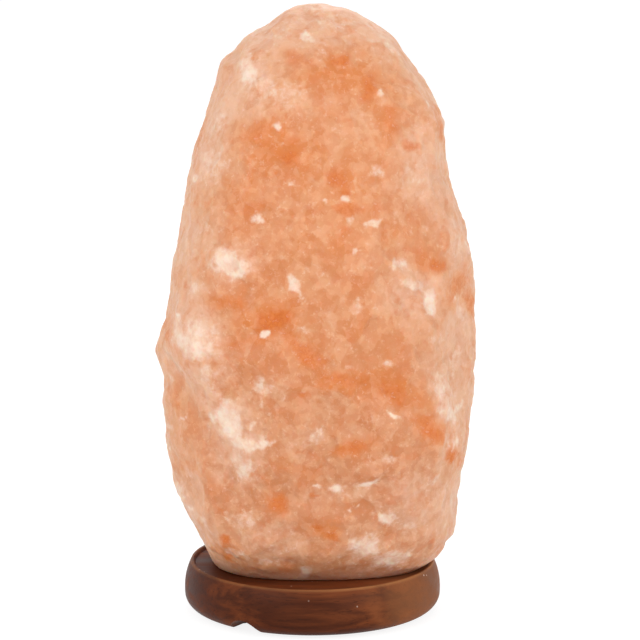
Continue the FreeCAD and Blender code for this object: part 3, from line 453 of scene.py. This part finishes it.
# Wide soft zones behind the patches, in the same form: where the salt is milky and partly painted paler with
# the glow of light through it, and where iron stains it through
MILKY_AND_GLOW_ZONES = (
    (187, 330, 40, 48, 0, 1.0), (206, 132, 22, 62, 12, 1.0), (255, 80, 28, 32, 0, 0.85),
    (425, 168, 26, 50, -15, 0.75), (196, 372, 26, 16, 40, 1.0), (216, 402, 16, 30, -30, 0.9),
    (186, 240, 16, 40, 8, 0.7), (292, 28, 30, 14, -20, 0.7), (460, 300, 18, 90, 0, 0.75),
    (236, 440, 28, 50, -15, 0.95), (415, 505, 40, 34, 0, 0.6), (370, 552, 44, 18, 0, 0.5),
    (320, 18, 50, 16, 0, 0.55), (418, 292, 32, 34, 0, 0.8), (230, 262, 30, 22, 0, 0.8),
    (216, 375, 22, 20, 0, 0.6), (310, 440, 24, 18, 0, 0.4), (265, 390, 18, 16, 0, 0.4),
    (340, 490, 44, 12, -5, 0.4), (456, 400, 9, 46, 0, 0.4), (190, 250, 14, 40, 0, 0.4),
    (290, 100, 44, 16, 5, 0.5), (445, 215, 16, 34, -10, 0.4), (226, 98, 24, 30, 15, 0.85),
    (262, 44, 28, 16, -30, 0.75), (272, 540, 32, 24, 0, 0.5), (380, 46, 26, 18, 35, 0.5),
)
STAINED_ZONES = (
    (264, 322, 36, 22, -12, 0.9), (302, 350, 34, 15, 36, 0.9), (350, 384, 36, 14, 8, 0.8),
    (398, 394, 44, 18, 20, 0.9), (432, 430, 26, 16, 45, 0.95), (280, 150, 40, 24, 15, 0.8),
    (345, 188, 24, 28, -45, 0.75), (348, 74, 44, 20, 15, 0.8), (386, 130, 18, 28, -15, 0.6),
    (428, 264, 20, 14, 8, 0.8), (398, 236, 18, 18, 0, 0.55), (226, 304, 26, 11, 15, 0.7),
    (212, 205, 30, 9, 5, 0.4), (355, 447, 32, 9, -12, 0.6), (276, 503, 15, 13, 0, 0.7),
    (324, 530, 20, 9, 15, 0.8), (226, 547, 16, 9, 0, 0.6), (177, 402, 12, 22, 0, 0.5),
    (330, 240, 40, 20, 0, 0.4), (240, 190, 34, 16, 0, 0.4), (190, 465, 14, 14, 0, 0.4),
    (300, 470, 30, 8, 20, 0.4), (452, 450, 8, 14, 0, 0.8), (375, 330, 40, 18, 0, 0.3),
    (186, 430, 18, 52, -12, 0.45),
)
# What each cover is drawn from, and the shares of a patch's half width between which it fades out
COVERS = {"pale": (PALE_PATCHES, 0.3, 1.5), "deep": (DEEP_PATCHES, 0.2, 1.9),
          "milky_and_glow": (MILKY_AND_GLOW_ZONES, 0.2, 1.6), "stained": (STAINED_ZONES, 0.2, 1.6)}
# The four faces of the crystal that carry such patches: turn about the upright axis in degrees, shift in
# pixels, strength, and how squarely the surface faces that way where they begin and where they are full
PATCH_FACES = ((0, 0, 0, 1.0, 0.05, 0.45), (94, 6, 34, 0.75, 0.6, 0.9),
               (181, -4, -22, 0.8, 0.05, 0.45), (271, 8, 16, 0.75, 0.6, 0.9))
# How the patches' outlines wander: feature size in mm, reach in pixels
WANDER = ((15.0, 2.5), (6.0, 4.5), (2.8, 2.6))
# How ragged their edges are: feature size in mm, amount, octaves
RAGS = ((8.0, 0.5, 3), (3.0, 0.3, 2))
RAG_SHARE = 0.4  # how far the rags cut into a patch, as a share of its half width
RAG_EDGE_PX = 7.0  # and about how far besides that in pixels, which counts more in a small patch
PALER_UPWARD_FACES = (0.75, 0.3, 0.9)  # how much paler upward faces are painted, and how squarely they face up, as above
PAINTED_SIDE_LIGHT_FACING = (0.35, 0.95)  # how squarely the surface faces a side where its painted light, a paler colour for the sides, begins and is full
PAINTED_SHADE_LOW_MM = (20, 190)  # painted shade: the salt is painted darker downwards between these heights
RIM_MM = 9  # height of the paler rim above the sawn foot, and how far its edge wanders
RIM_RAG_MM = 4


def patch_cover(pixels, patches, ragged, inner, outer):
    """How far each point lies inside any of the patches, from 0 to 1. They fade out between the inner and the
    outer share of their half width."""
    cover = np.zeros(len(pixels))
    for x, y, half_wide, half_tall, lean, strength in patches:
        cos, sin = math.cos(math.radians(lean)), math.sin(math.radians(lean))
        across, down = pixels[:, 0] - x, pixels[:, 1] - y
        reach = np.hypot((across * cos + down * sin) / half_wide, (down * cos - across * sin) / half_tall)
        edge = RAG_EDGE_PX / (half_wide + half_tall + RAG_EDGE_PX)
        inside = 1 - smooth(reach + ragged * (RAG_SHARE + edge), inner, outer)
        cover = np.maximum(cover, strength * inside)
    return cover


def turned_about(vectors, degrees):
    """Vectors turned about the upright axis."""
    cos, sin = math.cos(math.radians(degrees)), math.sin(math.radians(degrees))
    x, y, z = vectors.T
    return np.stack((x * cos - y * sin, x * sin + y * cos, z), axis=1)


def cover_all_round(points, normals, wander, ragged, patches, inner, outer):
    """How far each point lies inside any of the patches on any of the four faces."""
    cover = np.zeros(len(points))
    for turn, right, down, strength, begin, full in PATCH_FACES:
        facing = strength * smooth(-turned_about(normals, turn)[:, 1], begin, full)
        pixels = photo_place(turned_about(points, turn) * MM) + (right, down) + wander
        cover = np.maximum(cover, facing * patch_cover(pixels, patches, ragged, inner, outer))
    return cover


def paint(mesh, name, values):
    layer = mesh.attributes.new(name, "FLOAT", "POINT")
    layer.data.foreach_set("value", np.ascontiguousarray(values, dtype=np.float32))


def paint_crystal(mesh, points, normals):
    """Writes how milky (partly a painted glow), stained, pale or deep in colour each point of the crystal is,
    how low it lies (painted shade), and how near it is to the rim of the foot or to facing a side (painted
    light)."""
    ragged = sum(amount * noise_field(points, cell, NOISE_AT["rags"] + number, octaves)
                 for number, (cell, amount, octaves) in enumerate(RAGS))
    wander = np.zeros((len(points), 2))
    for number, (cell, reach) in enumerate(WANDER):
        for axis in range(2):
            offset = NOISE_AT["wander"] + 5 * number + 20 * axis
            wander[:, axis] += reach * noise_field(points, cell, offset)
    covers = {name: cover_all_round(points, normals, wander, ragged, *kind)
              for name, kind in COVERS.items()}
    upward_paleness, begin, full = PALER_UPWARD_FACES
    # Milky salt, partly the painted glow of light through it, and paler upward faces
    covers["milky_and_glow"] = np.maximum(covers["milky_and_glow"], upward_paleness * smooth(normals[:, 2], begin, full))
    # Painted shade: the lower part of the crystal is painted darker
    covers["low"] = 1 - smooth(points[:, 2], *PAINTED_SHADE_LOW_MM)
    covers["rim"] = 1 - smooth(points[:, 2] + RIM_RAG_MM * ragged, FOOT_MM, FOOT_MM + RIM_MM)
    # Painted light: surfaces that face a side are painted paler
    covers["painted_side_light"] = smooth(np.abs(normals[:, 0]), *PAINTED_SIDE_LIGHT_FACING)
    for name, cover in covers.items():
        paint(mesh, name, cover)


# Screen colours of the salt, which changes between them where there are two. The tints and the grain are
# lists for tinted().
SALT_BODY = ((217, 139, 86), (223, 153, 103))
# painted shade: the darker colour painted on the lower part
SALT_PAINTED_SHADE_LOW = (204, 138, 96)
# painted light: the paler colour painted on the sides
SALT_PAINTED_SIDE_LIGHT = (232, 186, 154)
# milky salt and the painted glow of light through it
SALT_MILKY_AND_GLOW = (234, 190, 162)
SALT_STAINED = (222, 134, 66)
SALT_DEEP = ((222, 124, 44), (212, 108, 34))
SALT_PALE = ((242, 208, 184), (248, 228, 210))
SALT_RIM = (228, 178, 152)
SALT_TINTS = (
    ("middle", 0.50, 0.74, 0, 0.5, (233, 186, 152)),
    ("middle", 0.28, 0.48, 0.5, 0, (218, 126, 66)),
    ("small", 0.50, 0.78, 0, 0.38, (238, 198, 168)),
    ("small", 0.24, 0.48, 0.35, 0, (214, 120, 62)),
    ("chips", 0.45, 0.85, 0, 0.2, (240, 190, 154)),
    ("chips", 0.15, 0.50, 0.2, 0, (212, 128, 74)),
    ("clumps", 0.50, 0.80, 0, 0.18, (244, 192, 154)),
    ("clumps", 0.15, 0.45, 0.12, 0, (210, 124, 70)),
)
SALT_GRAIN = (
    ("flecks", 0.60, 0.76, 0, 0.3, (246, 220, 196)),
    ("motes", 0.62, 0.74, 0, 0.2, (246, 208, 178)),
)
CHIPS_PER_METRE = 150
CLUMPS_PER_METRE = 330


def salt_material():
    """Translucent broken rock salt: an orange body, deep iron stains, milky veins with painted glow, a glassy
    grain, and painted light and shade.
    """
    material, tree, shader = new_material("rock_salt")
    where = places(tree)
    broad = noise_at(tree, where, 24, 3)
    middle = noise_at(tree, where, 85, 5, 0.62, 0.9)
    small = noise_at(tree, places(tree, turn=(0.5, 0.2, 0.9)), 230, 5, 0.65, 0.1)
    fine = noise_at(tree, where, 620, 3, 0.6)
    grain = noise_at(tree, where, 1500, 2, 0.6)
    chip_places = warped(tree, places(tree, (1, 1, 0.8), (0.3, 0.5, 0.2)), 160, reach_mm=3)
    clump_places = warped(tree, where, 350, reach_mm=2)
    sources = {
        "middle": middle, "small": small,
        "chips": cell_tint(tree, chip_places, CHIPS_PER_METRE, 0.15),
        "clumps": cell_tint(tree, clump_places, CLUMPS_PER_METRE, 0.3),
        "flecks": calc(tree, "ADD", times(tree, fine, 0.75), times(tree, small, 0.35)),
        "motes": calc(tree, "ADD", times(tree, grain, 0.8), times(tree, middle, 0.25)),
    }
    rags = calc(tree, "ADD", about_half(tree, small, 0.8), about_half(tree, fine, 0.5))

    def ragged(name, low_at, high_at, full):
        return ramp(tree, calc(tree, "ADD", attribute(tree, name), rags), low_at, high_at, 0, full)

    body = mix(tree, ramp(tree, broad, 0.36, 0.64), *SALT_BODY)
    # painted shade: darker towards the bottom
    body = mix(tree, times(tree, attribute(tree, "low"), 0.85), body, SALT_PAINTED_SHADE_LOW)
    # painted light: the sides painted paler
    body = mix(tree, times(tree, attribute(tree, "painted_side_light"), 0.6), body, SALT_PAINTED_SIDE_LIGHT)
    # milky salt and painted glow
    body = mix(tree, ragged("milky_and_glow", 0.0, 0.95, 0.85), body, SALT_MILKY_AND_GLOW)
    body = mix(tree, ragged("stained", 0.0, 0.9, 0.9), body, SALT_STAINED)
    body = tinted(tree, body, sources, SALT_TINTS)
    deep = mix(tree, ramp(tree, fine, 0.35, 0.65), *SALT_DEEP)
    pale = mix(tree, ramp(tree, small, 0.35, 0.65), *SALT_PALE)
    colour = mix(tree, ragged("deep", 0.1, 1.1, 0.8), body, deep)
    colour = mix(tree, ragged("pale", 0.1, 1.0, 0.9), colour, pale)
    colour = mix(tree, times(tree, attribute(tree, "rim"), 0.6), colour, SALT_RIM)
    colour = tinted(tree, colour, sources, SALT_GRAIN)

    chips = cell_distance(tree, chip_places, CHIPS_PER_METRE)
    relief = calc(tree, "ADD", times(tree, small, 0.5), times(tree, chips, 0.6))
    normal = bump(tree, relief, 0.8, 0.8)
    normal = bump(tree, fine, 0.3, 0.6, normal)
    normal = bump(tree, grain, 0.10, 0.5, normal)
    feed(tree, shader, {
        "Base Color": colour,
        "Roughness": ramp(tree, fine, 0.35, 0.65, 0.36, 0.62),
        "Specular IOR Level": 0.4,
        "Subsurface Weight": 0.75,
        "Subsurface Radius": (1.0, 0.5, 0.28),
        "Subsurface Scale": 5 * MM,
        "Normal": normal,
    })
    return material


# ---------------------------------------------------------------- turned base
# Screen colours of the wood, in the same form
WOOD_BODY = ((92, 42, 20), (126, 66, 34))
WOOD_TINTS = (
    ("streaks", 0.34, 0.62, 0.8, 0, (60, 25, 11)),
    ("streaks", 0.56, 0.74, 0, 0.55, (146, 84, 48)),
    ("blotch", 0.30, 0.70, 0.3, 0, (70, 30, 12)),
    ("pores", 0.34, 0.44, 0.45, 0, (44, 19, 8)),
)
WOOD_LIGHTER_RIGHT = (146, 92, 56)
# worn wood and a painted highlight on the arris of the rim
WOOD_WORN_AND_HIGHLIGHT = (168, 112, 68)
SALT_DUST = (226, 205, 188)
LIGHTER_RIGHT_MM = (22, 46)  # the wood turns lighter and greyer towards the right between these places across
LIGHTER_RIGHT_RAG_MM = 30  # how far these places wander
WORN_AND_HIGHLIGHT_MM = (1.3, 0.1)  # the arris is worn pale and takes a painted highlight between these depths below the top
WORN_AND_HIGHLIGHT_ACROSS_MM = (-20, 30)  # and its wear and painted highlight grow to the right between these places across


def wood_material():
    """Dark stained hardwood with its grain across the front, lighter and greyer to the right, worn pale and
    painted with a highlight on the arris of the rim, and dusted with salt."""
    material, tree, shader = new_material("stained_wood")
    streaks = noise_at(tree, places(tree, (9, 95, 150)), 1.0, 6, 0.6, 0.6)
    bands = noise_at(tree, places(tree, (3, 26, 40)), 1.0, 3, 0.5, 0.4)
    pores = noise_at(tree, places(tree, (45, 700, 1100)), 1.0, 3, 0.6)
    blotch = noise_at(tree, places(tree), 38, 3, 0.55)
    place = add(tree, "SeparateXYZ", {0: object_places(tree)}).outputs
    across, height = place["X"], place["Z"]

    colour = mix(tree, ramp(tree, bands, 0.36, 0.64), *WOOD_BODY)
    colour = tinted(tree, colour, {"streaks": streaks, "blotch": blotch, "pores": pores}, WOOD_TINTS)
    ragged_across = calc(tree, "ADD", across, about_half(tree, blotch, LIGHTER_RIGHT_RAG_MM * MM))
    # The wood is painted lighter and greyer towards the right
    lighter_right = ramp(tree, ragged_across, *(x * MM for x in LIGHTER_RIGHT_MM), 0, 0.6)
    colour = mix(tree, lighter_right, colour, WOOD_LIGHTER_RIGHT)
    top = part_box("wooden_base")[1][2]
    # Worn pale arris of the rim, partly a painted highlight
    worn_and_highlight = ramp(tree, height, *(top - depth * MM for depth in WORN_AND_HIGHLIGHT_MM))
    worn_and_highlight = times(tree, worn_and_highlight, ramp(tree, streaks, 0.3, 0.6, 0.2, 0.7))
    worn_and_highlight = times(tree, worn_and_highlight, ramp(tree, ragged_across, *(x * MM for x in WORN_AND_HIGHLIGHT_ACROSS_MM), 0.5, 1))
    colour = mix(tree, worn_and_highlight, colour, WOOD_WORN_AND_HIGHLIGHT)
    dusty = ramp(tree, noise_at(tree, places(tree, turn=(0.3, 0.8, 0.1)), 70, 2), 0.60, 0.66)
    specks = ramp(tree, cell_distance(tree, places(tree), 260), 0.05, 0.13, 1, 0)
    colour = mix(tree, times(tree, specks, dusty), colour, SALT_DUST)

    feed(tree, shader, {
        "Base Color": colour,
        "Roughness": ramp(tree, streaks, 0.35, 0.65, 0.42, 0.58),
        "Specular IOR Level": 0.1,
        "Normal": bump(tree, pores, 0.12, 0.6, bump(tree, streaks, 0.25, 0.6)),
    })
    return material


# ---------------------------------------------------------------- fitting and bulb
def plain_material(name, colour, darker, roughness, metal=0.0, per_metre=300, relief_mm=0.03, **sockets):
    """One colour with a faint mottle, a little wear in its gloss, a fine grain, and any further sockets."""
    material, tree, shader = new_material(name)
    mottle = noise_at(tree, places(tree), per_metre, 4, 0.6)
    fine = noise_at(tree, places(tree), per_metre * 6, 2, 0.5)
    feed(tree, shader, {
        "Base Color": mix(tree, ramp(tree, mottle, 0.35, 0.65), darker, colour),
        "Roughness": ramp(tree, mottle, 0.3, 0.7, roughness * 1.25, roughness * 0.85),
        "Metallic": metal,
        "Normal": bump(tree, fine, relief_mm, 0.5),
        **sockets,
    })
    return material


def glass_material(name, tint):
    material, tree, shader = new_material(name)
    feed(tree, shader, {"Base Color": linear(tint), "Roughness": 0.02, "Transmission Weight": 1.0,
                        "IOR": 1.47})
    return material


def dress_pads_and_screws():
    rubber = plain_material("rubber", (46, 43, 40), (34, 31, 29), 0.75, per_metre=500, relief_mm=0.08)
    assign(rubber, "floor_pads")
    nylon = plain_material("nylon", (168, 168, 164), (150, 150, 146), 0.5)
    assign(nylon, "screw_anchors")
    zinc = plain_material("zinc_plate", (186, 184, 176), (150, 147, 138), 0.36, metal=1.0)
    assign(zinc, "base_screws", "clip_bracket")
    spring = plain_material("spring_steel", (168, 166, 162), (128, 125, 120), 0.28, metal=1.0)
    assign(spring, "clip_spring_left", "clip_spring_right", "clip_pins")


def dress_holder():
    plastic = plain_material("holder_plastic", (222, 217, 204), (212, 206, 192), 0.38, per_metre=160,
                             relief_mm=0.05, **{"Subsurface Weight": 0.15, "Subsurface Scale": 1.5 * MM})
    assign(plastic, "holder_cap", "holder_sleeve")
    ceramic = plain_material("ceramic", (220, 214, 200), (204, 196, 180), 0.3, relief_mm=0.06)
    assign(ceramic, "terminal_block")
    brass = plain_material("brass", (214, 172, 98), (176, 132, 66), 0.3, metal=1.0)
    assign(brass, "socket_shell", "centre_contact", "side_contact", "terminal_screws", "lead_nipple",
           "nipple_nut")


def dress_bulb():
    nickel = plain_material("nickel", (198, 193, 182), (166, 160, 148), 0.26, metal=1.0)
    assign(nickel, "bulb_cap")
    assign(plain_material("black_glass", (24, 21, 24), (16, 14, 16), 0.12), "bulb_insulator")
    solder = plain_material("solder", (168, 168, 170), (130, 130, 132), 0.45, metal=1.0, relief_mm=0.1)
    assign(solder, "bulb_tip")
    lead_wire = plain_material("lead_wire", (172, 158, 138), (140, 126, 108), 0.35, metal=1.0)
    assign(lead_wire, "bulb_leads")
    tungsten = plain_material("tungsten", (92, 88, 84), (66, 62, 60), 0.45, metal=1.0, per_metre=2000)
    assign(tungsten, "bulb_filament", "filament_support")
    assign(glass_material("bulb_envelope", (252, 252, 250)), "bulb_glass")
    assign(glass_material("stem_glass", (236, 240, 236)), "bulb_stem")


# ---------------------------------------------------------------- studio
WORLD_LIGHT = 0.65  # strength of the world's own light, of which 1 would be white
FLOOR_HALF = 3.0
FLOOR_SHADOW = 0.3  # share of the floor that shows the light that falls on it
FLOOR_GLOW = 1.22  # strength of the glow that the rest of it shows
# Round lamps: place, what they aim at, width in metres and power in watts
LAMPS = {
    "key": ((-0.85, -0.95, 0.8), (0, 0, 0.14), 1.0, 6.5),
    "fill": ((0.95, -0.85, 0.5), (0, 0, 0.14), 1.0, 5),
    "back": ((0.1, 0.9, 0.9), (0, 0, 0.16), 0.8, 3.5),
}


def seen_by_camera(tree):
    """1 on paths straight from the camera, by reflection or through glass, 0 on those that only light."""
    path = add(tree, "LightPath", {}).outputs
    seen = calc(tree, "MAXIMUM", path["Is Camera Ray"], path["Is Glossy Ray"])
    return calc(tree, "MAXIMUM", seen, path["Is Transmission Ray"])


def make_world():
    """An even light all round, which shows as pure white."""
    world = bpy.data.worlds.new("studio")
    bpy.context.scene.world = world
    world.use_nodes = True
    tree = world.node_tree
    strength = ramp(tree, seen_by_camera(tree), 0, 1, WORLD_LIGHT, 1.0, eased=False)
    feed(tree, tree.nodes["Background"], {"Color": (1, 1, 1, 1), "Strength": strength})


def make_floor():
    """A floor that mostly shows as pure white and keeps a share of the lamp's shadow."""
    mesh = bpy.data.meshes.new("floor")
    corners = [(x * FLOOR_HALF, y * FLOOR_HALF, 0) for x, y in ((-1, -1), (1, -1), (1, 1), (-1, 1))]
    mesh.from_pydata(corners, [], [(0, 1, 2, 3)])
    floor = bpy.data.objects.new("floor", mesh)
    bpy.context.collection.objects.link(floor)
    material, tree, shader = new_material("floor_white")
    feed(tree, shader, {"Base Color": (0.9, 0.9, 0.9, 1), "Roughness": 0.9, "Specular IOR Level": 0.1})
    glow = add(tree, "Emission", {"Strength": FLOOR_GLOW})
    share = times(tree, seen_by_camera(tree), 1 - FLOOR_SHADOW)
    blend = add(tree, "MixShader", {0: share, 1: shader.outputs[0], 2: glow.outputs[0]})
    feed(tree, tree.nodes["Material Output"], {"Surface": blend.outputs[0]})
    mesh.materials.append(material)


def make_lamp(name, place, aim, width, power):
    lamp = bpy.data.objects.new(name, bpy.data.lights.new(name, "AREA"))
    bpy.context.collection.objects.link(lamp)
    lamp.location = place
    lamp.rotation_euler = (Vector(aim) - Vector(place)).to_track_quat("-Z", "Y").to_euler()
    lamp.data.shape = "DISK"
    lamp.data.size = width
    lamp.data.energy = power


make_camera()
make_world()
make_floor()
for lamp_name, lamp_values in LAMPS.items():
    make_lamp(lamp_name, *lamp_values)
bpy.context.scene.view_settings.view_transform = "Standard"

crystal, crystal_points, crystal_normals = make_crystal()
paint_crystal(crystal.data, crystal_points, crystal_normals)
crystal.data.materials.clear()
crystal.data.materials.append(salt_material())
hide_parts("salt_crystal")
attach(crystal, "root")
assign(wood_material(), "wooden_base")
dress_pads_and_screws()
dress_holder()
dress_bulb()
